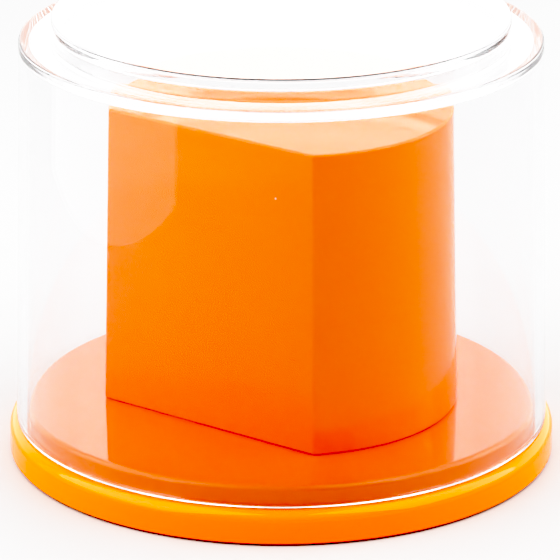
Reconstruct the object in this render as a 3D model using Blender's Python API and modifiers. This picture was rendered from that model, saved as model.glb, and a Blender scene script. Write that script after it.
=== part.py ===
"""Round display case for one wristwatch: a base, a D-shaped pedestal and a clear lift-off lid.

Metres, +Z up. The origin is the centre of the footprint, on the surface the case stands on, and the
pedestal's flat front faces -Y. The lid drops over the base's raised plug and rests on its flange.
"""

import math

import bmesh
import bpy

# ---------------------------------------------------------------- driving dimensions
# Fits
SEAT_GAP = 0.0003  # between two faces that rest on each other
LID_CLEARANCE = 0.0004  # radial, from the plug to the inside of the lid's rim
SCREW_CLEARANCE = 0.0003  # radial, around a screw

# Lid: a drafted cup, mouth down, with a raised round stage on its shoulder
LID_RADIUS = 0.0461  # outside, at the shoulder
LID_HEIGHT = 0.0700  # rim to shoulder
LID_DRAFT = math.radians(1.35)
LID_WALL = 0.0018
LID_SHOULDER_PLATE = 0.0018
LID_EDGE_ROUND = 0.0005
STAGE_INSET = 0.0057  # in from the shoulder's outer edge
STAGE_HEIGHT = 0.0039
STAGE_PLATE = 0.0020

# Base: a flange that carries the lid, and the raised plug that centres it, hollow underneath
FLANGE_OVERHANG = 0.00125  # beyond the lid's rim
FLANGE_HEIGHT = 0.0057
FLANGE_TOP_ROUND = 0.0020
FLANGE_FOOT_ROUND = 0.0009
PLUG_HEIGHT = 0.0035  # above the flange
PLUG_ROUND = 0.0008
BASE_WALL = 0.0020
SKIRT_WALL = 0.0022
COVER_LEDGE = 0.0016  # how far the ledge above the bottom cover reaches in
SUPPORT_RIB_OUTSET = 0.00275  # beyond the pedestal's foot, for the ring that backs the cover
SUPPORT_RIB_WALL = 0.0015

# Pedestal: a drafted round post with one flat, moulded hollow and open at its foot
PEDESTAL_RADIUS = 0.03175  # at the foot
PEDESTAL_HEIGHT = 0.0540
PEDESTAL_DRAFT = math.radians(1.35)
PEDESTAL_WALL = 0.0020
PEDESTAL_TOP_PLATE = 0.0022
PEDESTAL_ROUND = 0.0007
FLAT_DISTANCE = 0.02165  # axis to flat, at the foot
FLAT_DRAFT = math.radians(0.95)

# Screws that draw the pedestal down from under the base
SCREW_ANGLES = (90.0, 205.0, 335.0)  # degrees about +Z
SCREW_RADIUS = 0.00145
SCREW_LENGTH = 0.0100  # under the head
SCREW_POINT = 0.0020
SCREW_HEAD_RADIUS = 0.00275
SCREW_HEAD_HEIGHT = 0.0020
RECESS_SPAN = 0.0030
RECESS_WIDTH = 0.0007
RECESS_DEPTH = 0.0012
BOSS_RADIUS = 0.0032
BOSS_INSET = 0.0078  # boss axis, in from the pedestal's outside at its foot
BOSS_BORE_CLEARANCE = 0.0021  # beyond the screw's point
GUSSET_WALL = 0.0016

# Bottom cover and the pads it stands on
COVER_THICKNESS = 0.0016
COVER_SINK = 0.0004  # up inside the skirt
COVER_ROUND = 0.0003
PAD_STANDOFF = 0.0006  # how far the pads lift the skirt off the table
PAD_RADIUS = 0.0045
PAD_ROUND = 0.0003
PAD_INSET = 0.0085  # pad axis, in from the cover's edge
PAD_ANGLES = (45.0, 135.0, 225.0, 315.0)

# Facets
TURNED_STEPS = 88
SMALL_STEPS = 24
ROUND_STEPS = 3
CUT_MARGIN = 0.0010  # how far a cutter runs past the face it opens

# ---------------------------------------------------------------- levels and radii that follow
SKIRT_FOOT_Z = PAD_STANDOFF
COVER_FOOT_Z = SKIRT_FOOT_Z + COVER_SINK
COVER_TOP_Z = COVER_FOOT_Z + COVER_THICKNESS
LEDGE_Z = COVER_TOP_Z + SEAT_GAP
FLANGE_TOP_Z = SKIRT_FOOT_Z + FLANGE_HEIGHT
PLUG_TOP_Z = FLANGE_TOP_Z + PLUG_HEIGHT
PLATE_FOOT_Z = PLUG_TOP_Z - BASE_WALL
PEDESTAL_FOOT_Z = PLUG_TOP_Z + SEAT_GAP
PEDESTAL_TOP_Z = PEDESTAL_FOOT_Z + PEDESTAL_HEIGHT
LID_RIM_Z = FLANGE_TOP_Z + SEAT_GAP
SHOULDER_Z = LID_RIM_Z + LID_HEIGHT
STAGE_TOP_Z = SHOULDER_Z + STAGE_HEIGHT
SCREW_SEAT_Z = PLATE_FOOT_Z - SEAT_GAP

STAGE_RADIUS = LID_RADIUS - STAGE_INSET
LID_RIM_RADIUS = LID_RADIUS + LID_HEIGHT * math.tan(LID_DRAFT)
PLUG_RADIUS = LID_RIM_RADIUS - LID_WALL - LID_CLEARANCE
FLANGE_RADIUS = LID_RIM_RADIUS + FLANGE_OVERHANG
RECESS_RADIUS = FLANGE_RADIUS - SKIRT_WALL
COVER_RADIUS = RECESS_RADIUS - SEAT_GAP
SUPPORT_RIB_RADIUS = PEDESTAL_RADIUS + SUPPORT_RIB_OUTSET
SCREW_CIRCLE_RADIUS = PEDESTAL_RADIUS - BOSS_INSET
SCREW_BITE = SCREW_LENGTH - (PEDESTAL_FOOT_Z - SCREW_SEAT_Z)
BOSS_BORE_DEPTH = SCREW_BITE + BOSS_BORE_CLEARANCE
PAD_CIRCLE_RADIUS = COVER_RADIUS - PAD_INSET

# ---------------------------------------------------------------- plastics: colour, roughness, metallic, transmission
ORANGE_GLOSS = ("orange_gloss", (1.0, 0.22, 0.0), 0.12, 0.0, 0.0)
CLEAR_STYRENE = ("clear_styrene", (0.97, 0.98, 1.0), 0.03, 0.0, 1.0)
ORANGE_SATIN = ("orange_satin", (0.90, 0.19, 0.0), 0.40, 0.0, 0.0)
ZINC_PLATE = ("zinc_plate", (0.72, 0.72, 0.70), 0.30, 1.0, 0.0)
PAD_RUBBER = ("pad_rubber", (0.05, 0.05, 0.05), 0.70, 0.0, 0.0)


def clear_scene():
    """Empties the scene, so that only the case is left in it."""
    for obj in list(bpy.data.objects):
        bpy.data.objects.remove(obj, do_unlink=True)


def new_collection(name):
    """A collection of this name, linked into the scene."""
    collection = bpy.data.collections.new(name)
    bpy.context.scene.collection.children.link(collection)
    return collection


def plastic(finish):
    """A Principled material from a (name, colour, roughness, metallic, transmission) tuple."""
    name, colour, roughness, metallic, transmission = finish
    material = bpy.data.materials.new(name)
    material.use_nodes = True
    shader = material.node_tree.nodes["Principled BSDF"]
    shader.inputs["Base Color"].default_value = (*colour, 1.0)
    shader.inputs["Roughness"].default_value = roughness
    shader.inputs["Metallic"].default_value = metallic
    shader.inputs["Transmission Weight"].default_value = transmission
    return material


def add_object(name, mesh, collection, finish=None):
    """Links a new object of this mesh, as a piece with its own finish, or as a cutter with none."""
    obj = bpy.data.objects.new(name, mesh)
    collection.objects.link(obj)
    if finish is None:
        obj.hide_render = True
        obj.display_type = "WIRE"
    else:
        mesh.materials.append(plastic(finish))
    return obj


def rounded(corners):
    """Points of an outline from (radius, height, round) corners, with each round as an arc."""
    points = []
    for index, (r, z, size) in enumerate(corners):
        if size == 0.0:
            points.append((r, z))
            continue
        before, after = corners[index - 1], corners[index + 1]
        ways = []
        for end in (before, after):
            run = math.hypot(end[0] - r, end[1] - z)
            ways.append(((end[0] - r) / run, (end[1] - z) / run))
        (ax, az), (bx, bz) = ways
        half = math.acos(max(-1.0, min(1.0, ax * bx + az * bz))) / 2
        tangent = size / math.tan(half)
        reach = size / math.sin(half)
        mid = math.hypot(ax + bx, az + bz)
        centre = (r + (ax + bx) / mid * reach, z + (az + bz) / mid * reach)
        start = math.atan2(z + az * tangent - centre[1], r + ax * tangent - centre[0])
        stop = math.atan2(z + bz * tangent - centre[1], r + bx * tangent - centre[0])
        sweep = (stop - start + math.pi) % (2 * math.pi) - math.pi
        for step in range(ROUND_STEPS + 1):
            angle = start + sweep * step / ROUND_STEPS
            points.append((centre[0] + size * math.cos(angle), centre[1] + size * math.sin(angle)))
    return points


def turned(name, corners, collection, finish, steps=TURNED_STEPS):
    """A piece turned about its own Z axis from an outline that runs down its outer side."""
    points = rounded(corners)
    mesh = bpy.data.meshes.new(name)
    edges = [(index, index + 1) for index in range(len(points) - 1)]
    mesh.from_pydata([(r, 0.0, z) for r, z in points], edges, [])
    obj = add_object(name, mesh, collection, finish)
    screw = obj.modifiers.new("turn", "SCREW")
    screw.axis = "Z"
    screw.angle = 2 * math.pi
    screw.steps = steps
    screw.render_steps = steps
    screw.use_merge_vertices = True
    screw.merge_threshold = 0.00001
    screw.use_smooth_shade = True
    return obj


def tapered(name, foot_radius, top_radius, height, collection, finish=None, steps=TURNED_STEPS):
    """A round post that stands on its own origin, as a cone with caps."""
    mesh = bpy.data.meshes.new(name)
    shape = bmesh.new()
    bmesh.ops.create_cone(
        shape,
        cap_ends=True,
        segments=steps,
        radius1=foot_radius,
        radius2=top_radius,
        depth=height,
    )
    bmesh.ops.translate(shape, verts=shape.verts, vec=(0.0, 0.0, height / 2))
    shape.to_mesh(mesh)
    shape.free()
    return add_object(name, mesh, collection, finish)


def block(name, size, collection):
    """A box tool of this size, centred on its own origin."""
    mesh = bpy.data.meshes.new(name)
    shape = bmesh.new()
    bmesh.ops.create_cube(shape, size=1.0)
    bmesh.ops.scale(shape, verts=shape.verts, vec=size)
    shape.to_mesh(mesh)
    shape.free()
    return add_object(name, mesh, collection)


def combine(obj, tool, operation):
    """Adds an exact Boolean of this operation with the tool."""
    modifier = obj.modifiers.new(f"{operation.lower()}_{tool.name}", "BOOLEAN")
    modifier.operation = operation
    modifier.solver = "EXACT"
    modifier.object = tool


def on_circle(radius, degrees, height):
    """The point at this angle on a circle about the case's axis."""
    angle = math.radians(degrees)
    return (radius * math.cos(angle), radius * math.sin(angle), height)


def smooth(obj, degrees=30.0):
    """Shades the piece smooth, with its corners left sharp."""
    obj.data.shade_smooth()
    obj.data.set_sharp_from_angle(angle=math.radians(degrees))


def make_lid(pieces):
    """The clear cup: stage, shoulder, drafted wall and rim, one wall thick throughout."""
    stage_bore = STAGE_RADIUS - LID_WALL
    corners = [
        (0.0, STAGE_TOP_Z, 0.0),
        (STAGE_RADIUS, STAGE_TOP_Z, LID_EDGE_ROUND),
        (STAGE_RADIUS, SHOULDER_Z, 0.0),
        (LID_RADIUS, SHOULDER_Z, LID_EDGE_ROUND),
        (LID_RIM_RADIUS, LID_RIM_Z, LID_EDGE_ROUND),
        (LID_RIM_RADIUS - LID_WALL, LID_RIM_Z, LID_EDGE_ROUND),
        (LID_RADIUS - LID_WALL, SHOULDER_Z - LID_SHOULDER_PLATE, 0.0),
        (stage_bore, SHOULDER_Z - LID_SHOULDER_PLATE, 0.0),
        (stage_bore, STAGE_TOP_Z - STAGE_PLATE, 0.0),
        (0.0, STAGE_TOP_Z - STAGE_PLATE, 0.0),
    ]
    turned("lid", corners, pieces, CLEAR_STYRENE)


def make_base(pieces, cutters):
    """The flange and plug, hollow underneath, with a ledge for the cover and the screw holes."""
    plug_bore = PLUG_RADIUS - BASE_WALL
    ledge_radius = RECESS_RADIUS - COVER_LEDGE
    rib_inside = SUPPORT_RIB_RADIUS - SUPPORT_RIB_WALL
    corners = [
        (0.0, PLUG_TOP_Z, 0.0),
        (PLUG_RADIUS, PLUG_TOP_Z, PLUG_ROUND),
        (PLUG_RADIUS, FLANGE_TOP_Z, 0.0),
        (FLANGE_RADIUS, FLANGE_TOP_Z, FLANGE_TOP_ROUND),
        (FLANGE_RADIUS, SKIRT_FOOT_Z, FLANGE_FOOT_ROUND),
        (RECESS_RADIUS, SKIRT_FOOT_Z, 0.0),
        (RECESS_RADIUS, LEDGE_Z, 0.0),
        (ledge_radius, LEDGE_Z, 0.0),
        (ledge_radius, FLANGE_TOP_Z - BASE_WALL, 0.0),
        (plug_bore, FLANGE_TOP_Z - BASE_WALL, 0.0),
        (plug_bore, PLATE_FOOT_Z, 0.0),
        (SUPPORT_RIB_RADIUS, PLATE_FOOT_Z, 0.0),
        (SUPPORT_RIB_RADIUS, LEDGE_Z, 0.0),
        (rib_inside, LEDGE_Z, 0.0),
        (rib_inside, PLATE_FOOT_Z, 0.0),
        (0.0, PLATE_FOOT_Z, 0.0),
    ]
    base = turned("base", corners, pieces, ORANGE_GLOSS)
    hole_radius = SCREW_RADIUS + SCREW_CLEARANCE
    for number, degrees in enumerate(SCREW_ANGLES, start=1):
        depth = BASE_WALL + 2 * CUT_MARGIN
        hole = tapered(f"base_hole_{number}", hole_radius, hole_radius, depth, cutters, None, SMALL_STEPS)
        hole.location = on_circle(SCREW_CIRCLE_RADIUS, degrees, PLATE_FOOT_Z - CUT_MARGIN)
        combine(base, hole, "DIFFERENCE")


def d_post(name, inset, foot_z, top_z, collection, finish=None):
    """The pedestal's D form between two levels, drawn in everywhere by this inset."""
    taper = math.tan(PEDESTAL_DRAFT)
    foot_radius = PEDESTAL_RADIUS - inset - (foot_z - PEDESTAL_FOOT_Z) * taper
    top_radius = PEDESTAL_RADIUS - inset - (top_z - PEDESTAL_FOOT_Z) * taper
    post = tapered(name, foot_radius, top_radius, top_z - foot_z, collection, finish)
    post.location = (0.0, 0.0, foot_z)
    return post


def flat_cutter(name, inset, cutters):
    """The block whose leaning face cuts the flat, moved in by this inset."""
    width = 4 * PEDESTAL_RADIUS
    depth = 2 * PEDESTAL_RADIUS
    cutter = block(name, (width, depth, 4 * PEDESTAL_HEIGHT), cutters)
    face_y = -(FLAT_DISTANCE - inset)
    cutter.rotation_euler = (-FLAT_DRAFT, 0.0, 0.0)
    half = depth / 2
    cutter.location = (
        0.0,
        face_y - half * math.cos(FLAT_DRAFT),
        PEDESTAL_FOOT_Z + half * math.sin(FLAT_DRAFT),
    )
    return cutter


def make_pedestal(pieces, cutters):
    """The D-shaped post: flat cut, edges rounded, then cored out around its screw bosses."""
    pedestal = d_post("pedestal", 0.0, PEDESTAL_FOOT_Z, PEDESTAL_TOP_Z, pieces, ORANGE_GLOSS)
    combine(pedestal, flat_cutter("flat_cut", 0.0, cutters), "DIFFERENCE")
    edges = pedestal.modifiers.new("edges", "BEVEL")
    edges.width = PEDESTAL_ROUND
    edges.segments = ROUND_STEPS
    edges.limit_method = "ANGLE"
    edges.angle_limit = math.radians(40.0)

    core_foot_z = PEDESTAL_FOOT_Z - CUT_MARGIN
    core_top_z = PEDESTAL_TOP_Z - PEDESTAL_TOP_PLATE
    core = d_post("pedestal_core", PEDESTAL_WALL, core_foot_z, core_top_z, cutters)
    combine(core, flat_cutter("core_flat_cut", PEDESTAL_WALL, cutters), "DIFFERENCE")
    combine(pedestal, core, "DIFFERENCE")

    post_height = core_top_z - PEDESTAL_FOOT_Z + PEDESTAL_TOP_PLATE / 2
    gusset_height = post_height - BOSS_BORE_DEPTH
    bore_radius = SCREW_RADIUS + SCREW_CLEARANCE
    gusset_reach = BOSS_INSET - (PEDESTAL_WALL + PEDESTAL_HEIGHT * math.tan(PEDESTAL_DRAFT)) / 2
    for number, degrees in enumerate(SCREW_ANGLES, start=1):
        boss = tapered(f"boss_{number}", BOSS_RADIUS, BOSS_RADIUS, post_height, cutters, None, SMALL_STEPS)
        boss.location = on_circle(SCREW_CIRCLE_RADIUS, degrees, PEDESTAL_FOOT_Z)
        combine(pedestal, boss, "UNION")
        gusset = block(f"gusset_{number}", (gusset_reach, GUSSET_WALL, gusset_height), cutters)
        gusset_z = PEDESTAL_FOOT_Z + BOSS_BORE_DEPTH + gusset_height / 2
        gusset.location = on_circle(SCREW_CIRCLE_RADIUS + gusset_reach / 2, degrees, gusset_z)
        gusset.rotation_euler = (0.0, 0.0, math.radians(degrees))
        combine(pedestal, gusset, "UNION")
        depth = BOSS_BORE_DEPTH + CUT_MARGIN
        bore = tapered(f"boss_bore_{number}", bore_radius, bore_radius, depth, cutters, None, SMALL_STEPS)
        bore.location = on_circle(SCREW_CIRCLE_RADIUS, degrees, PEDESTAL_FOOT_Z - CUT_MARGIN)
        combine(pedestal, bore, "DIFFERENCE")
    smooth(pedestal)


def make_screws(pieces, cutters):
    """Self-tapping screws, heads down, each with a crossed recess for the driver."""
    recess_height = 2 * RECESS_DEPTH
    for number, degrees in enumerate(SCREW_ANGLES, start=1):
        corners = [
            (0.0, SCREW_LENGTH, 0.0),
            (SCREW_RADIUS, SCREW_LENGTH - SCREW_POINT, 0.0),
            (SCREW_RADIUS, 0.0, 0.0),
            (SCREW_HEAD_RADIUS, 0.0, 0.0),
            (SCREW_HEAD_RADIUS, -SCREW_HEAD_HEIGHT, SCREW_HEAD_HEIGHT / 2),
            (0.0, -SCREW_HEAD_HEIGHT, 0.0),
        ]
        screw = turned(f"pedestal_screw_{number}", corners, pieces, ZINC_PLATE, SMALL_STEPS)
        screw.location = on_circle(SCREW_CIRCLE_RADIUS, degrees, SCREW_SEAT_Z)
        for slot, size in enumerate(((RECESS_SPAN, RECESS_WIDTH), (RECESS_WIDTH, RECESS_SPAN)), start=1):
            recess = block(f"recess_{number}_{slot}", (*size, recess_height), cutters)
            recess.location = on_circle(SCREW_CIRCLE_RADIUS, degrees, SCREW_SEAT_Z - SCREW_HEAD_HEIGHT)
            combine(screw, recess, "DIFFERENCE")


def make_cover(pieces):
    """The flat disc that closes the hollow underside of the base."""
    corners = [
        (0.0, COVER_TOP_Z, 0.0),
        (COVER_RADIUS, COVER_TOP_Z, COVER_ROUND),
        (COVER_RADIUS, COVER_FOOT_Z, COVER_ROUND),
        (0.0, COVER_FOOT_Z, 0.0),
    ]
    turned("bottom_cover", corners, pieces, ORANGE_SATIN)


def make_pads(pieces):
    """The small round pads under the cover that the case stands on."""
    pad_height = COVER_FOOT_Z - SEAT_GAP
    for number, degrees in enumerate(PAD_ANGLES, start=1):
        corners = [
            (0.0, pad_height, 0.0),
            (PAD_RADIUS, pad_height, 0.0),
            (PAD_RADIUS, 0.0, PAD_ROUND),
            (0.0, 0.0, 0.0),
        ]
        pad = turned(f"foot_pad_{number}", corners, pieces, PAD_RUBBER, SMALL_STEPS)
        pad.location = on_circle(PAD_CIRCLE_RADIUS, degrees, 0.0)


def main():
    """Builds the whole case."""
    clear_scene()
    pieces = new_collection("watch_display_case")
    cutters = new_collection("cutters")
    make_base(pieces, cutters)
    make_pedestal(pieces, cutters)
    make_screws(pieces, cutters)
    make_cover(pieces)
    make_pads(pieces)
    make_lid(pieces)


main()
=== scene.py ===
"""Looks of the round watch display case: clear lid, glossy orange base and D-shaped pedestal.

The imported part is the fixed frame. Each sub-assembly is a class that works its sizes out from the
frame's boxes and a few named values, builds its pieces as surfaces over whole arrays, and dresses
them. Everything is in metres, +Z up, and the pedestal's flat faces -Y.
"""

from __future__ import annotations

import logging
import math
from dataclasses import dataclass
from enum import Enum

import bmesh
import bpy
import numpy as np
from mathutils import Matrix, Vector


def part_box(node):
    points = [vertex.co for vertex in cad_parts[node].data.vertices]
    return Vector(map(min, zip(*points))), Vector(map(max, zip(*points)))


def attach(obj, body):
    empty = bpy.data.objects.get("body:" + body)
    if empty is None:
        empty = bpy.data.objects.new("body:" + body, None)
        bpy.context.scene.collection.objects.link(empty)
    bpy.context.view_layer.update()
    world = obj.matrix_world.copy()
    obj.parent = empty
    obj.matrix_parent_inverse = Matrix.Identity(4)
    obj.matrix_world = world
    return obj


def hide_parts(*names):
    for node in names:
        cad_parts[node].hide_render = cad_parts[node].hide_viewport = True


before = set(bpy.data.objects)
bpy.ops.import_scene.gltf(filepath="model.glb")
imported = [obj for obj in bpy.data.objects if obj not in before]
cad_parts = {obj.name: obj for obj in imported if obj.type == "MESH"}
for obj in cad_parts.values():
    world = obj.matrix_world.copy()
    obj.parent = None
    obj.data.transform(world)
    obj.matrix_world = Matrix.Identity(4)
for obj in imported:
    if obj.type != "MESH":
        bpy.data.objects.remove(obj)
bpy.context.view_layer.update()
SHARP_ANGLE = math.radians(38.0)
MERGE = 0.000001
HAIRLINE_STRETCH = (1.0, 0.012, 0.3)
HAIRLINE_EDGE = 0.04

Array = np.ndarray
Piece = bpy.types.Object
Material = bpy.types.Material
Socket = bpy.types.NodeSocket
Span = tuple[float, float]
Triple = tuple[float, float, float]
Tint = Triple | Socket
log = logging.getLogger("display_case")


class Body(Enum):
    """The two rigid bodies of the case."""

    STAND = "stand"
    LID = "lid"


class Slot(Enum):
    """The record's material slots."""

    ORANGE_GLOSS = "orange_gloss"
    CLEAR_STYRENE = "clear_styrene"
    ORANGE_SATIN = "orange_satin"
    ZINC_PLATE = "zinc_plate"
    PAD_RUBBER = "pad_rubber"


class Joining(Enum):
    """How a tool changes the piece it is put to."""

    ADD = "UNION"
    CUT = "DIFFERENCE"


# ---------------------------------------------------------------- outlines and skins


@dataclass(frozen=True)
class Corner:
    """One corner of an outline: how far out, how high, and the round that softens it."""

    out: float
    z: float
    round: float = 0.0


@dataclass(frozen=True)
class Outline:
    """A chain of corners in the (out, z) plane, with arcs for its rounds.

    Guard points a little way off each arc keep the shading of the flats next to it flat.
    """

    corners: tuple[Corner, ...]
    arc_steps: int = 10
    guard: float = 0.00012

    def points(self) -> Array:
        """The outline as points.

        Returns:
            An (n, 2) array of (out, z), from the first corner to the last.
        """
        knots = np.array([(corner.out, corner.z) for corner in self.corners])
        chains = [self._chain(knots, index) for index in range(len(knots))]
        laid = [chains[0]]
        for before, after in zip(chains, chains[1:]):
            laid.append(self._guards(before[-1], after[0]))
            laid.append(after)
        return np.concatenate(laid)

    def _chain(self, knots: Array, index: int) -> Array:
        """The points of one corner: itself, or an arc that touches both its sides.

        The arc's centre lies on the corner's bisector at radius / sin(half angle), and it touches
        each side at radius / tan(half angle) from the corner.

        Args:
            knots: the outline's corners, as (out, z).
            index: which of them.

        Returns:
            An (n, 2) array with one point, or arc_steps + 1 of them.
        """
        size = self.corners[index].round
        here = knots[index]
        if size == 0.0:
            return here[None, :]
        ways = np.stack([knots[index - 1] - here, knots[index + 1] - here])
        ways /= np.linalg.norm(ways, axis=1, keepdims=True)
        half = math.acos(float(np.clip(ways[0] @ ways[1], -1.0, 1.0))) / 2
        bisector = ways.sum(axis=0) / np.linalg.norm(ways.sum(axis=0))
        centre = here + bisector * size / math.sin(half)
        touch = here + ways * size / math.tan(half) - centre
        start, stop = np.arctan2(touch[:, 1], touch[:, 0])
        sweep = (stop - start + math.pi) % (2 * math.pi) - math.pi
        angles = start + sweep * np.linspace(0.0, 1.0, self.arc_steps + 1)
        return centre + size * np.stack([np.cos(angles), np.sin(angles)], axis=1)

    def _guards(self, start: Array, stop: Array) -> Array:
        """Two points on a straight run, one guard distance in from each of its ends.

        Args:
            start: where the run starts.
            stop: where it ends.

        Returns:
            A (2, 2) array, or an empty one on a run too short to need them.
        """
        run = stop - start
        length = float(np.linalg.norm(run))
        if length < 4 * self.guard:
            return np.empty((0, 2))
        share = self.guard / length
        return start + run * np.array([[share], [1 - share]])


def circle_rings(outline: Array, steps: int) -> Array:
    """Rings of a turned surface: (out cos u, out sin u, z) for every outline point and turn u.

    Args:
        outline: (n, 2) points of (radius, z).
        steps: how many points go round each ring.

    Returns:
        An (n, steps, 3) array.
    """
    turn = np.linspace(0.0, 2 * math.pi, steps, endpoint=False)
    radius, height = outline[:, :1], outline[:, 1:]
    flat = np.ones_like(turn)
    return np.stack([radius * np.cos(turn), radius * np.sin(turn), height * flat], axis=2)


def skin(name: str, rings: Array, first_pole: Array, last_pole: Array | None = None) -> Piece:
    """One body from a stack of rings and the points that close its ends.

    The rings run down the outer side, so the faces that join ring i to ring i + 1, and each pole to
    the ring beside it, all point out.

    Args:
        name: the piece's name.
        rings: (n, m, 3) points, anticlockwise seen from above.
        first_pole: the point that closes the first ring.
        last_pole: the point that closes the last ring, or None to leave it open.

    Returns:
        The new object, linked into the scene.
    """
    count, around = rings.shape[:2]
    index = np.arange(count * around).reshape(count, around)
    ahead = np.roll(index, -1, axis=1)
    quads = np.stack([index[:-1], index[1:], ahead[1:], ahead[:-1]], axis=2).reshape(-1, 4)
    pole = np.full(around, count * around)
    faces = quads.tolist() + np.stack([pole, index[0], ahead[0]], axis=1).tolist()
    points = [*rings.reshape(-1, 3).tolist(), first_pole.tolist()]
    if last_pole is not None:
        faces += np.stack([index[-1], pole + 1, ahead[-1]], axis=1).tolist()
        points.append(last_pole.tolist())
    mesh = bpy.data.meshes.new(name)
    mesh.from_pydata(points, [], faces)
    mesh.shade_smooth()
    mesh.set_sharp_from_angle(angle=SHARP_ANGLE)
    piece = bpy.data.objects.new(name, mesh)
    bpy.context.scene.collection.objects.link(piece)
    return piece


def turned(name: str, corners: tuple[Corner, ...], steps: int, centre: Vector | None = None) -> Piece:
    """A turned piece whose outline starts and ends on its own upright axis.

    Args:
        name: the piece's name.
        corners: the outline's corners, from the axis down the outer side and back to the axis.
        steps: how many points go round.
        centre: where the axis stands, or None for the case's own axis.

    Returns:
        The new object.
    """
    outline = Outline(corners).points()
    place = np.array([0.0, 0.0, 0.0] if centre is None else [centre.x, centre.y, 0.0])
    rings = circle_rings(outline[1:-1], steps) + place
    poles = [place + np.array([0.0, 0.0, z]) for z in (outline[0, 1], outline[-1, 1])]
    return skin(name, rings, *poles)


def disc(centre: Array, radius: float, steps: int = 48) -> Array:
    """A round footprint: centre + radius (cos u, sin u), its points half a step off the axes.

    Args:
        centre: its middle, (x, y).
        radius: its radius.
        steps: how many points go round.

    Returns:
        A (steps, 2) array, anticlockwise.
    """
    turn = (np.arange(steps) + 0.5) * 2 * math.pi / steps
    return centre + radius * np.stack([np.cos(turn), np.sin(turn)], axis=1)


def bar(start: Array, stop: Array, width: float) -> Array:
    """A straight footprint from start to stop: its corners stand half a width off the line between.

    Args:
        start: the middle of its first end, (x, y).
        stop: the middle of its last end.
        width: how wide it is.

    Returns:
        A (4, 2) array, anticlockwise.
    """
    way = (stop - start) / np.linalg.norm(stop - start)
    half = np.array([-way[1], way[0]]) * width / 2
    return np.stack([start - half, stop - half, stop + half, start + half])


def upright(name: str, footprint: Array, low: float, high: float) -> Piece:
    """A footprint carried straight up from one height to another.

    Args:
        name: the tool's name.
        footprint: (m, 2) points, anticlockwise.
        low: the height of its foot.
        high: the height of its top.

    Returns:
        The new object.
    """
    rings = np.stack([np.c_[footprint, np.full(len(footprint), z)] for z in (high, low)])
    poles = [np.append(footprint.mean(axis=0), z) for z in (high, low)]
    return skin(name, rings, *poles)


def combine(piece: Piece, tools: list[Piece], joining: Joining) -> None:
    """Adds the tools to the piece or cuts them out of it for good, and removes the tools.

    Points that the cut leaves closer than MERGE apart become one, so that the body stays closed.

    Args:
        piece: the object whose mesh changes.
        tools: closed bodies.
        joining: whether they are added or cut.
    """
    for tool in tools:
        modifier = piece.modifiers.new(tool.name, "BOOLEAN")
        modifier.operation = joining.value
        modifier.solver = "EXACT"
        modifier.object = tool
    before = piece.data
    piece.data = bpy.data.meshes.new_from_object(piece.evaluated_get(bpy.context.evaluated_depsgraph_get()))
    piece.modifiers.clear()
    bpy.data.meshes.remove(before)
    piece.data.name = piece.name
    shape = bmesh.new()
    shape.from_mesh(piece.data)
    bmesh.ops.remove_doubles(shape, verts=shape.verts, dist=MERGE)
    shape.to_mesh(piece.data)
    shape.free()
    piece.data.shade_smooth()
    piece.data.set_sharp_from_angle(angle=SHARP_ANGLE)
    for tool in tools:
        bpy.data.meshes.remove(tool.data)


def settle(piece: Piece, finish: Material, body: Body, node: str) -> None:
    """Gives the piece its finish, and sets it to ride on its body in place of its CAD node.

    Args:
        piece: the finished piece.
        finish: its material.
        body: the rigid body that carries it.
        node: the CAD node that it stands in for.
    """
    piece.data.materials.append(finish)
    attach(piece, body.value)
    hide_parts(node)
    log.info("%s: %d faces, rides on %s", piece.name, len(piece.data.polygons), body.value)


# ---------------------------------------------------------------- finishes


@dataclass(frozen=True)
class Clouds:
    """A soft noise: cells per metre, octaves, and the noise values that count as 0 and as 1."""

    scale: float
    detail: float
    spread: Span


@dataclass(frozen=True)
class Relief:
    """A bump: what its full height stands for, in metres, and how much of it shows."""

    depth: float
    strength: float


@dataclass(frozen=True)
class Hairlines:
    """Fine scratches: marks per metre across, Euler angles of their run, and how high a peak has to be."""

    scale: float
    turn: Triple
    share: float


def moved(tree: bpy.types.NodeTree, value: Socket, source: Span, target: Span,
          smooth: bool = False) -> Socket:
    """Adds a node that moves a value from one range to another, clamped.

    Args:
        tree: the node tree.
        value: what is moved.
        source: the range it comes from.
        target: the range it goes to.
        smooth: whether it starts and stops softly.

    Returns:
        The moved value's socket.
    """
    node = tree.nodes.new("ShaderNodeMapRange")
    node.interpolation_type = "SMOOTHSTEP" if smooth else "LINEAR"
    node.inputs["From Min"].default_value, node.inputs["From Max"].default_value = source
    node.inputs["To Min"].default_value, node.inputs["To Max"].default_value = target
    tree.links.new(value, node.inputs["Value"])
    return node.outputs["Result"]


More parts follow.
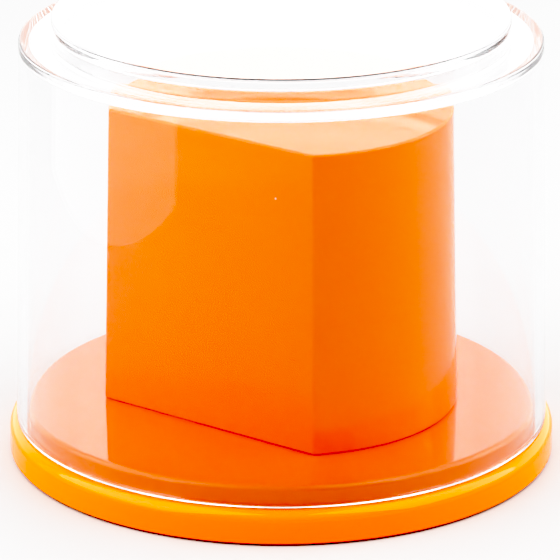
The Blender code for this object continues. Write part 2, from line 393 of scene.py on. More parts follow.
class Sheet:
    """The node tree of one material, with short ways to add and join its nodes."""

    def __init__(self, name: str) -> None:
        """Starts a material with only its Principled shader and the piece's own coordinates.

        Args:
            name: the material's name.
        """
        self.material = bpy.data.materials.new(name)
        self.material.use_nodes = True
        self.tree = self.material.node_tree
        self.shader = self.tree.nodes["Principled BSDF"]
        self.place = self.tree.nodes.new("ShaderNodeTexCoord").outputs["Object"]

    def join(self, source: Socket, target: Socket) -> None:
        """Links an output to an input."""
        self.tree.links.new(source, target)

    def feed(self, source: Socket, name: str) -> None:
        """Links an output to the shader's input of this name."""
        self.join(source, self.shader.inputs[name])

    def noise(self, scale: float, detail: float = 2.0, stretch: Triple = (1, 1, 1),
              turn: Triple = (0, 0, 0)) -> Socket:
        """A noise value over the piece's own coordinates.

        Args:
            scale: cells per metre.
            detail: octaves.
            stretch: how much finer the pattern runs along each axis.
            turn: Euler angles of the pattern.

        Returns:
            The noise's value socket.
        """
        mapping = self.tree.nodes.new("ShaderNodeMapping")
        mapping.inputs["Scale"].default_value = stretch
        mapping.inputs["Rotation"].default_value = turn
        self.join(self.place, mapping.inputs["Vector"])
        noise = self.tree.nodes.new("ShaderNodeTexNoise")
        noise.inputs["Scale"].default_value = scale
        noise.inputs["Detail"].default_value = detail
        self.join(mapping.outputs["Vector"], noise.inputs["Vector"])
        return noise.outputs["Fac"]

    def clouds(self, pattern: Clouds, target: Span = (0.0, 1.0)) -> Socket:
        """A pattern's noise, moved to a range."""
        return moved(self.tree, self.noise(pattern.scale, pattern.detail), pattern.spread, target)

    def specks(self, scale: float, edge: Span) -> Socket:
        """Small round dots, one in each cell of a Voronoi pattern.

        Args:
            scale: cells per metre.
            edge: the distances from a cell's point, in cells, where a dot starts and stops fading.

        Returns:
            A value that is 1 in a dot and 0 elsewhere.
        """
        cells = self.tree.nodes.new("ShaderNodeTexVoronoi")
        cells.inputs["Scale"].default_value = scale
        self.join(self.place, cells.inputs["Vector"])
        return moved(self.tree, cells.outputs["Distance"], edge, (1.0, 0.0))

    def maths(self, kind: str, first: Socket, second: Socket | float) -> Socket:
        """Joins two values by a Math node.

        Args:
            kind: the node's operation.
            first: the first value.
            second: the second value, or a number.

        Returns:
            The result's socket.
        """
        node = self.tree.nodes.new("ShaderNodeMath")
        node.operation = kind
        self.join(first, node.inputs[0])
        if isinstance(second, float):
            node.inputs[1].default_value = second
        else:
            self.join(second, node.inputs[1])
        return node.outputs["Value"]

    def blend(self, factor: Socket, first: Tint, second: Tint) -> Socket:
        """Mixes two colours.

        Args:
            factor: 0 for the first colour, 1 for the second.
            first: a colour or a colour socket.
            second: another.

        Returns:
            The mixed colour's socket.
        """
        node = self.tree.nodes.new("ShaderNodeMix")
        node.data_type = "RGBA"
        self.join(factor, node.inputs["Factor"])
        colours = [socket for socket in node.inputs if socket.type == "RGBA"]
        for socket, colour in zip(colours, (first, second)):
            if isinstance(colour, tuple):
                socket.default_value = (*colour, 1.0)
            else:
                self.join(colour, socket)
        return next(socket for socket in node.outputs if socket.type == "RGBA")

    def bump(self, height: Socket, relief: Relief, under: Socket | None = None) -> Socket:
        """A bump, laid over another if one is given.

        Args:
            height: its height, from 0 to 1.
            relief: how deep it goes and shows.
            under: the normal that it is laid over.

        Returns:
            The new normal's socket.
        """
        node = self.tree.nodes.new("ShaderNodeBump")
        node.inputs["Distance"].default_value = relief.depth
        node.inputs["Strength"].default_value = relief.strength
        self.join(height, node.inputs["Height"])
        if under is not None:
            self.join(under, node.inputs["Normal"])
        return node.outputs["Normal"]

    def scratches(self, lines: Hairlines) -> Socket:
        """Thin hairline marks: noise drawn out along one way, of which only the peaks show.

        Args:
            lines: how close they lie, which way they run and how few show, from 0.5, many, to 1, none.

        Returns:
            A value that is 1 in a mark and 0 elsewhere.
        """
        drawn = self.noise(lines.scale, 2.0, HAIRLINE_STRETCH, lines.turn)
        return moved(self.tree, drawn, (lines.share, lines.share + HAIRLINE_EDGE), (0.0, 1.0))

    def crossed(self, lines: tuple[Hairlines, Hairlines]) -> Socket:
        """Two sets of hairline marks over each other."""
        return self.maths("MAXIMUM", self.scratches(lines[0]), self.scratches(lines[1]))


@dataclass(frozen=True)
class GlossPlastic:
    """Opaque high-gloss moulding: faint haze, hairlines, a trace of orange peel, and specks of dust."""

    name: str
    colour: Triple
    deep_colour: Triple
    dust_colour: Triple
    haze: Span
    ior: float
    tones: Clouds = Clouds(18.0, 3.0, (0.35, 0.65))
    dust_scale: float = 95.0
    dust_edge: Span = (0.018, 0.026)
    dust_patches: Clouds = Clouds(60.0, 0.0, (0.58, 0.60))
    dust_roughness: float = 0.4
    hairlines: tuple[Hairlines, Hairlines] = (
        Hairlines(2600.0, (0.3, 0.2, 0.7), 0.70),
        Hairlines(2100.0, (1.1, 0.4, -0.5), 0.71),
    )
    hairline_roughness: float = 0.10
    hairline_relief: Relief = Relief(0.000004, 0.3)
    haze_patches: Clouds = Clouds(35.0, 4.0, (0.3, 0.7))
    peel_scale: float = 420.0
    peel_relief: Relief = Relief(0.000004, 0.12)

    def make(self) -> Material:
        """Makes the gloss, with every pattern on the piece's own coordinates.

        Returns:
            The material.
        """
        sheet = Sheet(self.name)
        tone = sheet.blend(sheet.clouds(self.tones), self.colour, self.deep_colour)
        near = sheet.specks(self.dust_scale, self.dust_edge)
        dust = sheet.maths("MULTIPLY", near, sheet.clouds(self.dust_patches))
        sheet.feed(sheet.blend(dust, tone, self.dust_colour), "Base Color")
        lines = sheet.crossed(self.hairlines)
        worn = sheet.maths("MULTIPLY", lines, self.hairline_roughness)
        rough = sheet.maths("ADD", sheet.clouds(self.haze_patches, self.haze), worn)
        dusty = sheet.maths("MULTIPLY", dust, self.dust_roughness)
        sheet.feed(sheet.maths("ADD", rough, dusty), "Roughness")
        peel = sheet.bump(sheet.noise(self.peel_scale, 1.0), self.peel_relief)
        sheet.feed(sheet.bump(lines, self.hairline_relief, peel), "Normal")
        sheet.shader.inputs["IOR"].default_value = self.ior
        return sheet.material


@dataclass(frozen=True)
class ClearPlastic:
    """Water-clear moulding: polished, with a slow flow wave and a few hairlines."""

    name: str
    tint: Triple
    ior: float
    haze: Span
    hairlines: tuple[Hairlines, Hairlines] = (
        Hairlines(1900.0, (0.1, 0.3, 0.4), 0.72),
        Hairlines(2300.0, (0.9, -0.2, -0.6), 0.73),
    )
    hairline_relief: Relief = Relief(0.000003, 0.2)
    wave_scale: float = 26.0
    wave_relief: Relief = Relief(0.00002, 0.3)

    def make(self) -> Material:
        """Makes the clear plastic, see-through by the shader's own transmission.

        Returns:
            The material.
        """
        sheet = Sheet(self.name)
        lines = sheet.crossed(self.hairlines)
        sheet.feed(moved(sheet.tree, lines, (0.0, 1.0), self.haze), "Roughness")
        wave = sheet.bump(sheet.noise(self.wave_scale, 1.0), self.wave_relief)
        sheet.feed(sheet.bump(lines, self.hairline_relief, wave), "Normal")
        sheet.shader.inputs["Base Color"].default_value = (*self.tint, 1.0)
        sheet.shader.inputs["IOR"].default_value = self.ior
        sheet.shader.inputs["Transmission Weight"].default_value = 1.0
        return sheet.material


@dataclass(frozen=True)
class GrainedSurface:
    """Two drifting tones under one close grain, which sets the roughness too, and maybe rubbed marks."""

    name: str
    colour: Triple
    other_colour: Triple
    tones: Clouds
    grain: Clouds
    relief: Relief
    roughness: Span
    stretch: Triple = (1, 1, 1)
    metallic: float = 0.0
    rubs: Hairlines | None = None
    rub_relief: Relief = Relief(0.00001, 0.4)

    def make(self) -> Material:
        """Makes the surface, with the rubbed marks laid over the grain's relief.

        Returns:
            The material.
        """
        sheet = Sheet(self.name)
        sheet.feed(sheet.blend(sheet.clouds(self.tones), self.colour, self.other_colour), "Base Color")
        noise = sheet.noise(self.grain.scale, self.grain.detail, self.stretch)
        sheet.feed(moved(sheet.tree, noise, self.grain.spread, self.roughness), "Roughness")
        normal = sheet.bump(noise, self.relief)
        if self.rubs is not None:
            normal = sheet.bump(sheet.scratches(self.rubs), self.rub_relief, normal)
        sheet.feed(normal, "Normal")
        sheet.shader.inputs["Metallic"].default_value = self.metallic
        return sheet.material


@dataclass(frozen=True)
class Finishes:
    """The materials of the whole case, made once and shared."""

    gloss: Material
    clear: Material
    satin: Material
    zinc: Material
    rubber: Material

    @classmethod
    def make(cls) -> Finishes:
        """Makes every finish of the case.

        Returns:
            The set of them.
        """
        gloss = GlossPlastic(
            "orange_gloss_moulding",
            colour=(1.0, 0.205, 0.0),
            deep_colour=(0.99, 0.197, 0.0),
            dust_colour=(1.0, 0.72, 0.55),
            haze=(0.035, 0.075),
            ior=1.47,
        )
        clear = ClearPlastic("clear_styrene_moulding", tint=(0.955, 0.950, 0.957), ior=1.46, haze=(0.0, 0.06))
        satin = GrainedSurface(
            "orange_satin_moulding",
            colour=(0.90, 0.11, 0.0),
            other_colour=(0.84, 0.095, 0.0),
            tones=Clouds(24.0, 3.0, (0.35, 0.65)),
            grain=Clouds(2200.0, 3.0, (0.3, 0.7)),
            relief=Relief(0.00002, 0.5),
            roughness=(0.36, 0.52),
            rubs=Hairlines(1500.0, (0.0, 0.0, 0.8), 0.68),
        )
        zinc = GrainedSurface(
            "bright_zinc_plate",
            colour=(0.74, 0.72, 0.68),
            other_colour=(0.66, 0.68, 0.72),
            tones=Clouds(700.0, 2.0, (0.3, 0.7)),
            grain=Clouds(900.0, 3.0, (0.3, 0.7)),
            relief=Relief(0.00001, 0.4),
            roughness=(0.18, 0.38),
            stretch=(1.0, 1.0, 8.0),
            metallic=1.0,
        )
        rubber = GrainedSurface(
            "matt_pad_rubber",
            colour=(0.028, 0.028, 0.030),
            other_colour=(0.065, 0.064, 0.062),
            tones=Clouds(380.0, 4.0, (0.45, 0.75)),
            grain=Clouds(1800.0, 3.0, (0.3, 0.7)),
            relief=Relief(0.00004, 0.6),
            roughness=(0.62, 0.82),
        )
        return cls(gloss.make(), clear.make(), satin.make(), zinc.make(), rubber.make())


# ---------------------------------------------------------------- sub-assemblies


@dataclass
class Lid:
    """The clear cup, mouth down: raised stage, shoulder, drafted wall and rim."""

    wall: float = 0.0018
    stage_plate: float = 0.0020
    draft: float = math.radians(1.35)
    stage_inset: float = 0.0057
    stage_height: float = 0.0039
    outer_round: float = 0.00055
    inner_round: float = 0.00045
    rim_round: float = 0.0004
    rim_drop: float = 0.00025
    steps: int = 320

    def build(self) -> Piece:
        """The lid as one turned wall, its inner face one wall inside the outer one.

        Returns:
            The lid's piece.
        """
        low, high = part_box("lid")
        shoulder_z = high.z - self.stage_height
        rim_radius, rim = high.x, low.z - self.rim_drop
        shoulder_radius = rim_radius - (shoulder_z - rim) * math.tan(self.draft)
        stage_radius = shoulder_radius - self.stage_inset
        bore = stage_radius - self.wall
        under_shoulder = shoulder_z - self.wall
        ceiling = high.z - self.stage_plate
        corners = (
            Corner(0.0, high.z),
            Corner(stage_radius, high.z, self.outer_round),
            Corner(stage_radius, shoulder_z, self.inner_round / 2),
            Corner(shoulder_radius, shoulder_z, self.outer_round),
            Corner(rim_radius, rim, self.rim_round),
            Corner(rim_radius - self.wall, rim, self.rim_round),
            Corner(shoulder_radius - self.wall, under_shoulder, self.inner_round),
            Corner(bore, under_shoulder, self.inner_round / 2),
            Corner(bore, ceiling, self.inner_round),
            Corner(0.0, ceiling),
        )
        return turned("lid_cup", corners, self.steps)

    def dress(self, piece: Piece, finishes: Finishes) -> None:
        """Gives the lid its clear plastic and its place on the lid's body."""
        settle(piece, finishes.clear, Body.LID, "lid")


@dataclass
class PedestalScrews:
    """Three self-tapping screws, heads down, with a thread and a crossed recess."""

    count: int = 3
    pitch: float = 0.0011
    thread_depth: float = 0.00035
    ridge_width: float = 0.32
    point: float = 0.0020
    head_height: float = 0.0020
    head_round: float = 0.0009
    seat_round: float = 0.0001
    shank_radius: float = 0.00145
    recess_reach: float = 0.00150
    recess_width: float = 0.00035
    recess_depth: float = 0.0012
    recess_soft: float = 0.00008
    steps: int = 64
    shank_rows: int = 150
    face_rows: int = 40

    def axes(self) -> Array:
        """Where the screws stand.

        Returns:
            A (count, 2) array of (x, y), one row for each screw.
        """
        boxes = [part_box(f"pedestal_screw_{number}") for number in range(1, self.count + 1)]
        return np.array([((low.x + high.x) / 2, (low.y + high.y) / 2) for low, high in boxes])

    def shank(self, top: float, seat: float) -> Array:
        """Rings of the threaded shank, from its point down to under the head.

        The radius is the root's, plus a ridge that climbs one pitch a turn and is highest where the
        height in pitches less the turn is halfway through a whole number, all narrowing to the point.
        The first ring lies a fortieth of the point's length below its tip.

        Args:
            top: the height of the point.
            seat: the height of the head's upper face.

        Returns:
            A (rows, steps, 3) array.
        """
        turn = np.linspace(0.0, 2 * math.pi, self.steps, endpoint=False)[None, :]
        height = np.linspace(top - self.point / 40, seat, self.shank_rows)[:, None]
        phase = np.mod(height / self.pitch - turn / (2 * math.pi), 1.0)
        ridge = np.clip(1.0 - np.abs(phase - 0.5) / self.ridge_width, 0.0, 1.0)
        taper = np.clip((top - height) / self.point, 0.0, 1.0)
        radius = (self.shank_radius - self.thread_depth) + self.thread_depth * ridge
        radius = radius * taper
        return np.stack([radius * np.cos(turn), radius * np.sin(turn), height + 0.0 * turn], axis=2)

    def head(self, seat: float, head_radius: float) -> Array:
        """Rings of the pan head and its driving face, sunk where the crossed recess lies.

        The face is sunk by the recess's depth times the larger of two soft bars, each 1 inside its
        length and width and falling to 0 over the soft edge.

        Args:
            seat: the height of the head's upper face.
            head_radius: the head's radius.

        Returns:
            A (rows, steps, 3) array.
        """
        face_z = seat - self.head_height
        side = Outline(
            (
                Corner(self.shank_radius, seat),
                Corner(head_radius, seat, self.seat_round),
                Corner(head_radius, face_z, self.head_round),
                Corner(head_radius / 2, face_z),
            )
        ).points()
        inner = np.linspace(head_radius / 2, head_radius / (2 * self.face_rows), self.face_rows)[1:]
        outer = side[side[:, 1] > face_z]
        rim = np.linspace(head_radius - self.head_round, head_radius / 2, self.face_rows)
        rows = np.concatenate([outer[:, 0], rim, inner])
        levels = np.concatenate([outer[:, 1], np.full(len(rim) + len(inner), face_z)])
        rings = circle_rings(np.stack([rows, levels], axis=1), self.steps)
        x, y = np.abs(rings[..., 0]), np.abs(rings[..., 1])
        bars = [
            np.clip((self.recess_reach - a) / self.recess_soft, 0.0, 1.0)
            * np.clip((self.recess_width - b) / self.recess_soft, 0.0, 1.0)
            for a, b in ((x, y), (y, x))
        ]
        sunk = np.maximum(*bars) * self.recess_depth
        rings[len(outer):, :, 2] += sunk[len(outer):]
        return rings

    def build(self) -> list[Piece]:
        """The screws, each in its CAD node's place.

        Returns:
            One piece for each screw.
        """
        pieces = []
        for number, axis in enumerate(self.axes(), start=1):
            low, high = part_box(f"pedestal_screw_{number}")
            centre = np.append(axis, 0.0)
            seat = low.z + self.head_height
            rings = np.concatenate([self.shank(high.z, seat), self.head(seat, (high.x - low.x) / 2)]) + centre
            poles = [centre + np.array([0.0, 0.0, z]) for z in (high.z, low.z + self.recess_depth)]
            pieces.append(skin(f"tapping_screw_{number}", rings, *poles))
        return pieces

    def dress(self, pieces: list[Piece], finishes: Finishes) -> None:
        """Gives the screws their plating and their place on the stand.

        Args:
            pieces: the screws, in the order of their nodes.
            finishes: the case's materials.
        """
        for number, piece in enumerate(pieces, start=1):
            settle(piece, finishes.zinc, Body.STAND, f"pedestal_screw_{number}")


@dataclass
class Base:
    """The flange that carries the lid and the plug that centres it, hollow underneath."""

    wall: float = 0.0020
    skirt_wall: float = 0.0022
    ledge: float = 0.0016
    flange_height: float = 0.0057
    plug_inset: float = 0.00345
    top_round: float = 0.0020
    foot_round: float = 0.0005
    foot_drop: float = 0.00035
    plug_round: float = 0.0009
    root_round: float = 0.00035
    rib_outset: float = 0.00275
    rib_wall: float = 0.0015
    screw_play: float = 0.0003
    cut_past: float = 0.0010
    steps: int = 256

    def build(self, screws: PedestalScrews) -> Piece:
        """The base as one turned shell, with a recess and ledge for the cover and a rib that backs it.

        Args:
            screws: the screws that pass up through it.

        Returns:
            The base's piece.
        """
        low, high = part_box("base")
        cover_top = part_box("bottom_cover")[1].z
        flange_top = low.z + self.flange_height
        plug_radius = high.x - self.plug_inset
        recess = high.x - self.skirt_wall
        foot = low.z - self.foot_drop
        ledge_z = cover_top + (low.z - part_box("foot_pad_1")[0].z) / 2
        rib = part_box("pedestal")[1].x + self.rib_outset
        plate_foot = high.z - self.wall
        corners = (
            Corner(0.0, high.z),
            Corner(rib, high.z),
            Corner(plug_radius, high.z, self.plug_round),
            Corner(plug_radius, flange_top, self.root_round),
            Corner(high.x, flange_top, self.top_round),
            Corner(high.x, foot, self.foot_round),
            Corner(recess, foot, self.root_round),
            Corner(recess, ledge_z),
            Corner(recess - self.ledge, ledge_z),
            Corner(recess - self.ledge, flange_top - self.wall),
            Corner(plug_radius - self.wall, flange_top - self.wall),
            Corner(plug_radius - self.wall, plate_foot, self.root_round),
            Corner(rib, plate_foot, self.root_round),
            Corner(rib, ledge_z),
            Corner(rib - self.rib_wall, ledge_z),
            Corner(rib - self.rib_wall, plate_foot, self.root_round),
            Corner(0.0, plate_foot),
        )
        piece = turned("base_moulding", corners, self.steps)
        radius = screws.shank_radius + self.screw_play
        below, above = plate_foot - self.cut_past, high.z + self.cut_past
        holes = [
            upright(f"screw_hole_{number}", disc(axis, radius), below, above)
            for number, axis in enumerate(screws.axes(), start=1)
        ]
        combine(piece, holes, Joining.CUT)
        return piece

    def dress(self, piece: Piece, finishes: Finishes) -> None:
        """Gives the base its gloss and its place on the stand."""
        settle(piece, finishes.gloss, Body.STAND, "base")


@dataclass
class Pedestal:
    """The drafted round post with one flat, moulded hollow and open at its foot."""

    draft: float = math.radians(1.35)
    flat_draft: float = math.radians(0.95)
    wall: float = 0.0020
    top_plate: float = 0.0022
    corner_round: float = 0.0010
    top_round: float = 0.00045
    foot_round: float = 0.0005
    foot_drop: float = 0.00028
    boss_radius: float = 0.0032
    bore_play: float = 0.0003
    bore_past: float = 0.0021
    gusset_wall: float = 0.0016
    arc_points: int = 300
    corner_points: int = 12
    flat_points: int = 40

    def section(self, radius: Array, flat: Array, corner: Array) -> Array:
        """D-shaped rings: a round arc, a straight flat across -Y, and two small corner arcs.

        A corner's centre lies (radius - corner) from the axis and (flat - corner) towards -Y, so its
        arc touches the round and the flat both.

        Args:
            radius: the round's radius at each level.
            flat: the distance from the axis to the flat at each level.
            corner: the corner arcs' radius at each level.

        Returns:
            A (levels, points, 2) array, anticlockwise from the flat's right-hand end.
        """
        radius, flat, corner = (value[:, None] for value in (radius, flat, corner))
        drop = flat - corner
        side = np.sqrt((radius - corner) ** 2 - drop**2)
        lean = np.arctan2(-drop, side)
        along = np.linspace(0.0, 1.0, self.corner_points + 1)[None, :]
        right = -math.pi / 2 + (lean + math.pi / 2) * along
        left = math.pi - lean + (lean + math.pi / 2) * along
        round_way = np.linspace(0.0, 1.0, self.arc_points)[None, 1:-1]
        main = lean + (math.pi - 2 * lean) * round_way
        across = -side + 2 * side * np.linspace(0.0, 1.0, self.flat_points)[None, 1:-1]
        x = np.concatenate(
            [
                side + corner * np.cos(right),
                radius * np.cos(main),
                -side + corner * np.cos(left),
                across,
            ],
            axis=1,
        )
        y = np.concatenate(
            [
                -drop + corner * np.sin(right),
                radius * np.sin(main),
                -drop + corner * np.sin(left),
                -flat + 0.0 * across,
            ],
            axis=1,
        )
        return np.stack([x, y], axis=2)

    def add_bosses(self, piece: Piece, screws: PedestalScrews) -> None:
        """Stands a bored boss over each screw, from foot to ceiling, with a gusset out to the wall.

        Args:
            piece: the hollow post.
            screws: the screws that the bosses take.
        """
        low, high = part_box("pedestal")
        foot = low.z - self.foot_drop
        inside_top = high.z - self.top_plate / 2
        wall_middle = high.x - (self.wall + (high.z - low.z) * math.tan(self.draft)) / 2
        bore_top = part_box("pedestal_screw_1")[1].z + self.bore_past
        bosses, bores = [], []
        for number, axis in enumerate(screws.axes(), start=1):
            at_wall = axis / np.linalg.norm(axis) * wall_middle
            bosses.append(upright(f"boss_{number}", disc(axis, self.boss_radius), foot, inside_top))
            gusset = bar(axis, at_wall, self.gusset_wall)
            bosses.append(upright(f"gusset_{number}", gusset, bore_top, inside_top))
            bore = disc(axis, screws.shank_radius + self.bore_play)
            bores.append(upright(f"bore_{number}", bore, foot - self.bore_past, bore_top))
        combine(piece, bosses, Joining.ADD)
        combine(piece, bores, Joining.CUT)

    def build(self, screws: PedestalScrews) -> Piece:
        """The post as D-shaped rings stacked along an outline of (inset, height), with its bosses.

        At each level the round and the flat stand in from their place at the foot by the height
        times the tangent of their draft, and by the outline's inset.

        Args:
            screws: the screws that hold it down.

        Returns:
            The pedestal's piece.
        """
        low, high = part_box("pedestal")
        foot = low.z - self.foot_drop
        ceiling = high.z - self.top_plate
        lip = 4 * self.corner_round
        corners = (
            Corner(-lip, high.z),
            Corner(0.0, high.z, self.top_round),
            Corner(0.0, foot, self.foot_round),
            Corner(-self.wall, foot, self.top_round),
            Corner(-self.wall, ceiling, self.top_round),
            Corner(-self.wall - lip, ceiling),
        )
        outline = Outline(corners).points()
        inset, height = -outline[:, 0], outline[:, 1]
        rise = height - low.z
        radius = high.x - rise * math.tan(self.draft) - inset
        flat = -low.y - rise * math.tan(self.flat_draft) - inset
        corner = np.maximum(self.corner_round - inset, self.top_round)
        rings = self.section(radius, flat, corner)
        heights = np.broadcast_to(height[:, None, None], (*rings.shape[:2], 1))
        poles = [np.array([0.0, 0.0, level]) for level in (high.z, ceiling)]
        piece = skin("pedestal_post", np.concatenate([rings, heights], axis=2), *poles)
        self.add_bosses(piece, screws)
        return piece

    def dress(self, piece: Piece, finishes: Finishes) -> None:
        """Gives the pedestal its gloss and its place on the stand."""
        settle(piece, finishes.gloss, Body.STAND, "pedestal")


@dataclass
class Underside:
    """The disc that closes the base's underside, and the four pads under it."""

    pads: int = 4
    cover_round: float = 0.0003
    groove_radius: float = 0.0435
    groove_width: float = 0.0008
    groove_depth: float = 0.0003
    pad_round: float = 0.00028
    cover_steps: int = 192
    pad_steps: int = 72

    def build_cover(self) -> Piece:
        """The cover, with a shallow moulded groove just inside its edge.

        Returns:
            The cover's piece.
        """
        low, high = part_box("bottom_cover")
        outer, inner = self.groove_radius, self.groove_radius - self.groove_width
        groove_z = low.z + self.groove_depth
        corners = (
            Corner(0.0, high.z),
            Corner(high.x, high.z, self.cover_round),
            Corner(high.x, low.z, self.cover_round),
            Corner(outer, low.z, self.cover_round / 4),
            Corner(outer, groove_z),
            Corner(inner, groove_z),
            Corner(inner, low.z, self.cover_round / 4),
            Corner(0.0, low.z),
        )
        return turned("underside_cover", corners, self.cover_steps)

    def build_pads(self) -> list[Piece]:
        """The pads, each a low disc with a rounded lower edge, in its CAD node's place.

        Returns:
            One piece for each pad.
        """
        pieces = []
        for number in range(1, self.pads + 1):
            low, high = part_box(f"foot_pad_{number}")
            radius = (high.x - low.x) / 2
            corners = (
                Corner(0.0, high.z),
                Corner(radius, high.z, self.pad_round / 4),
                Corner(radius, low.z, self.pad_round),
                Corner(0.0, low.z),
            )
            pieces.append(turned(f"stick_on_pad_{number}", corners, self.pad_steps, (low + high) / 2))
        return pieces

    def dress(self, cover: Piece, pads: list[Piece], finishes: Finishes) -> None:
        """Gives the cover and pads their finishes and their place on the stand.

        Args:
            cover: the cover's piece.
            pads: the pads, in the order of their nodes.
            finishes: the case's materials.
        """
        settle(cover, finishes.satin, Body.STAND, "bottom_cover")
        for number, pad in enumerate(pads, start=1):
            settle(pad, finishes.rubber, Body.STAND, f"foot_pad_{number}")


# ---------------------------------------------------------------- studio


@dataclass(frozen=True)
class Sky:
    """A tent of soft light, brightest low down behind the case, with its own strength high up."""

    front_low: float = 0.7
    back_low: float = 3.4
    front_high: float = 1.4
    back_high: float = 1.4
    dim_from: float = -0.1
    bright_from: float = 0.75
    low_to: float = 0.35
    high_from: float = 0.80
    lean: float = math.radians(-15.0)

    def make(self, view_azimuth: float) -> bpy.types.World:
        """The sky as a world whose strength depends on the way alone.

        The strength runs from its front to its back value along the cosine of the way's angle to the
        bright side, and from the low ring to the roof along the way's height, both smoothly.

        Args:
            view_azimuth: the camera's angle round the case.

        Returns:
            The world.
        """
        world = bpy.data.worlds.new("soft_tent")
        world.use_nodes = True
        tree = world.node_tree
        background = tree.nodes["Background"]
        way = tree.nodes.new("ShaderNodeTexCoord").outputs["Generated"]
        angle = view_azimuth + self.lean
        toward_back = tree.nodes.new("ShaderNodeVectorMath")
        toward_back.operation = "DOT_PRODUCT"
        toward_back.inputs[1].default_value = (-math.sin(angle), math.cos(angle), 0.0)
        tree.links.new(way, toward_back.inputs[0])
        upward = tree.nodes.new("ShaderNodeSeparateXYZ")
        tree.links.new(way, upward.inputs[0])
        side = (self.dim_from, self.bright_from)
        along = toward_back.outputs["Value"]
        low = moved(tree, along, side, (self.front_low, self.back_low), smooth=True)
        high = moved(tree, along, side, (self.front_high, self.back_high), smooth=True)
        share = moved(tree, upward.outputs["Z"], (self.low_to, self.high_from), (0.0, 1.0), smooth=True)
        mix = tree.nodes.new("ShaderNodeMix")
        mix.data_type = "FLOAT"
        values = [socket for socket in mix.inputs if socket.type == "VALUE"]
        for source, target in zip((share, low, high), values):
            tree.links.new(source, target)
        tree.links.new(next(s for s in mix.outputs if s.type == "VALUE"), background.inputs["Strength"])
        background.inputs["Color"].default_value = (1.0, 1.0, 1.0, 1.0)
        return world


def hang(name: str, size: Span, glow: float, place: Vector, aim: Vector, turn: float = 0.0) -> None:
    """Hangs a rectangular light that the camera doesn't see, its power pi times radiance times area.

    Args:
        name: its name.
        size: its width and height.
        glow: its radiance.
        place: its middle.
        aim: the way it faces.
        turn: how far it is then turned round an upright axis.
    """
    lamp = bpy.data.lights.new(name, "AREA")
    lamp.shape = "RECTANGLE"
    lamp.size, lamp.size_y = size
    lamp.energy = glow * math.pi * size[0] * size[1]
    holder = bpy.data.objects.new(name, lamp)
    holder.location = place
    holder.rotation_euler = aim.to_track_quat("-Z", "Y").to_euler()
    holder.rotation_euler.z += turn
    holder.visible_camera = False
    bpy.context.scene.collection.objects.link(holder)


@dataclass(frozen=True)
class Card:
    """A glowing white card that stands on the floor beside the case, facing it."""

    name: str
    along: float
    side: float
    width: float
    height: float
    glow: float
    turn: float = 0.0

    def make(self, view_azimuth: float) -> None:
        """Stands the card up: along is towards the camera, side is to its right, glow its radiance.

        Args:
            view_azimuth: the camera's angle round the case.
        """
        away = Vector((math.sin(view_azimuth), -math.cos(view_azimuth), 0.0))
        right = Vector((math.cos(view_azimuth), math.sin(view_azimuth), 0.0))
        place = away * self.along + right * self.side + Vector((0.0, 0.0, self.height / 2))
        facing = -right if self.side > 0 else right
        hang(self.name, (self.width, self.height), self.glow, place, facing, self.turn)


@dataclass(frozen=True)
class Softbox:
    """A square soft light hung high at one side of the case, aimed at its middle."""

    name: str
    bearing: float
    rise: float
    distance: float
    size: float
    glow: float
    aim_height: float = 0.035

    def make(self, view_azimuth: float) -> None:
        """Hangs the light: bearing is counted from the camera to its right, glow is its radiance.

        Args:
            view_azimuth: the camera's angle round the case.
        """
        angle = view_azimuth + self.bearing
        way = Vector((math.sin(angle), -math.cos(angle), math.tan(self.rise))).normalized()
        place = way * self.distance + Vector((0.0, 0.0, self.aim_height))
        hang(self.name, (self.size, self.size), self.glow, place, -way)


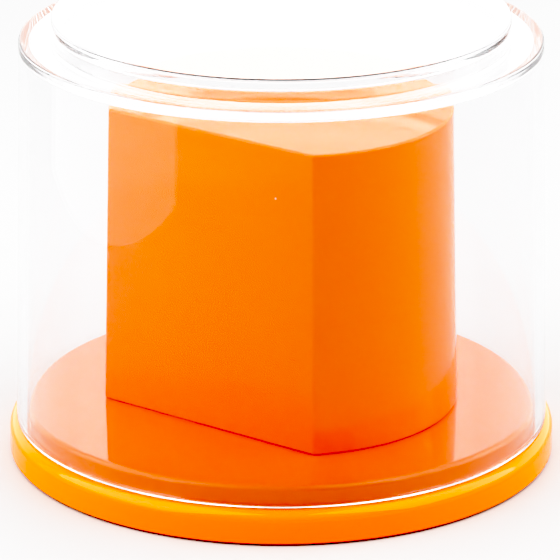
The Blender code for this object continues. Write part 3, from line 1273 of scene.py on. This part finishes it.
@dataclass(frozen=True)
class Studio:
    """A pale floor in soft light, and a long lens that looks down on the case."""

    azimuth: float = math.radians(36.93)
    tilt: float = math.radians(19.52)
    distance: float = 0.7313
    height: float = 0.2902
    side_step: float = -0.00022
    lens: float = 278.8
    sensor: float = 36.0
    clip: Span = (0.05, 20.0)
    floor_radius: float = 1.6
    floor_rings: int = 24
    floor_steps: int = 96
    floor_inner: float = 0.02
    floor_shade: Triple = (0.48, 0.48, 0.48)
    floor_grain: Clouds = Clouds(40.0, 3.0, (0.3, 0.7))
    floor_roughness: Span = (0.55, 0.7)
    black_level: float = 0.215
    white_level: float = 3.0
    roll_over: float = 5.0
    gain: float = 1.02
    tone_runs: tuple[tuple[float, float, int], ...] = ((0.25, 0.75, 3), (0.85, 1.45, 7), (1.7, 2.3, 3))
    light_bounces: int = 24
    sky: Sky = Sky()
    softboxes: tuple[Softbox, ...] = (
        Softbox("left_softbox", math.radians(-72.0), math.radians(42.0), 0.65, 0.85, 3.9),
        Softbox("right_softbox", math.radians(80.0), math.radians(42.0), 0.65, 0.85, 3.9),
    )
    card: Card = Card("left_card", 0.0573, -0.1914, 0.26, 0.20, 0.95, math.radians(10.8))

    def place_camera(self) -> None:
        """The camera, level across, tilted down at the middle of the case."""
        data = bpy.data.cameras.new("case_camera")
        data.lens = self.lens
        data.sensor_width = self.sensor
        data.clip_start, data.clip_end = self.clip
        camera = bpy.data.objects.new("case_camera", data)
        right = Vector((math.cos(self.azimuth), math.sin(self.azimuth), 0.0))
        away = Vector((math.sin(self.azimuth), -math.cos(self.azimuth), 0.0))
        camera.location = away * self.distance + right * self.side_step + Vector((0.0, 0.0, self.height))
        camera.rotation_euler = (math.pi / 2 - self.tilt, 0.0, self.azimuth)
        bpy.context.scene.collection.objects.link(camera)
        bpy.context.scene.camera = camera

    def lay_floor(self) -> None:
        """A round pale floor whose rings shrink by the square of an even run, finer towards the case."""
        radii = self.floor_radius * np.linspace(self.floor_inner, 1.0, self.floor_rings) ** 2
        rings = circle_rings(np.stack([radii, np.zeros_like(radii)], axis=1), self.floor_steps)
        floor = skin("pale_floor", rings, np.zeros(3))
        sheet = Sheet("pale_floor_paper")
        sheet.shader.inputs["Base Color"].default_value = (*self.floor_shade, 1.0)
        sheet.feed(sheet.clouds(self.floor_grain, self.floor_roughness), "Roughness")
        floor.data.materials.append(sheet.material)

    def light_world(self) -> None:
        """Lights the scene with the sky, turned so that its bright side is behind the case."""
        bpy.context.scene.world = self.sky.make(self.azimuth)

    def hang_lights(self) -> None:
        """A softbox at each side, and the card at the left that shows in the pedestal's flat."""
        for lamp in (*self.softboxes, self.card):
            lamp.make(self.azimuth)

    def set_display(self) -> None:
        """Plain display colours under one tone curve, and light paths deep enough for the clear plates.

        Above the black level a light x shows as gain * x / (1 + x^n)^(1/n): straight through the
        darks and the middle, then rolling over to white near 1.
        """
        scene = bpy.context.scene
        scene.view_settings.view_transform = "Standard"
        scene.view_settings.use_curve_mapping = True
        mapping = scene.view_settings.curve_mapping
        mapping.black_level = (self.black_level,) * 3
        mapping.white_level = (self.white_level,) * 3
        mapping.extend = "HORIZONTAL"
        span = self.white_level - self.black_level
        light = np.concatenate([np.linspace(*run) for run in self.tone_runs])
        shown = self.gain * light / (1 + light**self.roll_over) ** (1 / self.roll_over)
        curve = mapping.curves[3]
        for x, y in zip(light / span, shown):
            curve.points.new(float(x), float(y))
        mapping.update()
        scene.cycles.max_bounces = self.light_bounces
        scene.cycles.glossy_bounces = self.light_bounces
        scene.cycles.transmission_bounces = self.light_bounces

    def set_up(self) -> None:
        """Camera, floor, lights and display colours, in that order."""
        self.place_camera()
        self.lay_floor()
        self.light_world()
        self.hang_lights()
        self.set_display()
        log.info("studio: camera %.0f mm from the axis", 1000 * self.distance)


def main() -> None:
    """Builds and dresses the case piece by piece, then the studio round it."""
    logging.basicConfig(level=logging.INFO, format="%(name)s %(message)s")
    Studio().set_up()
    finishes = Finishes.make()
    screws = PedestalScrews()
    base = Base()
    base.dress(base.build(screws), finishes)
    pedestal = Pedestal()
    pedestal.dress(pedestal.build(screws), finishes)
    screws.dress(screws.build(), finishes)
    underside = Underside()
    underside.dress(underside.build_cover(), underside.build_pads(), finishes)
    lid = Lid()
    lid.dress(lid.build(), finishes)
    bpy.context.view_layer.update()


if __name__ == "__main__":
    main()
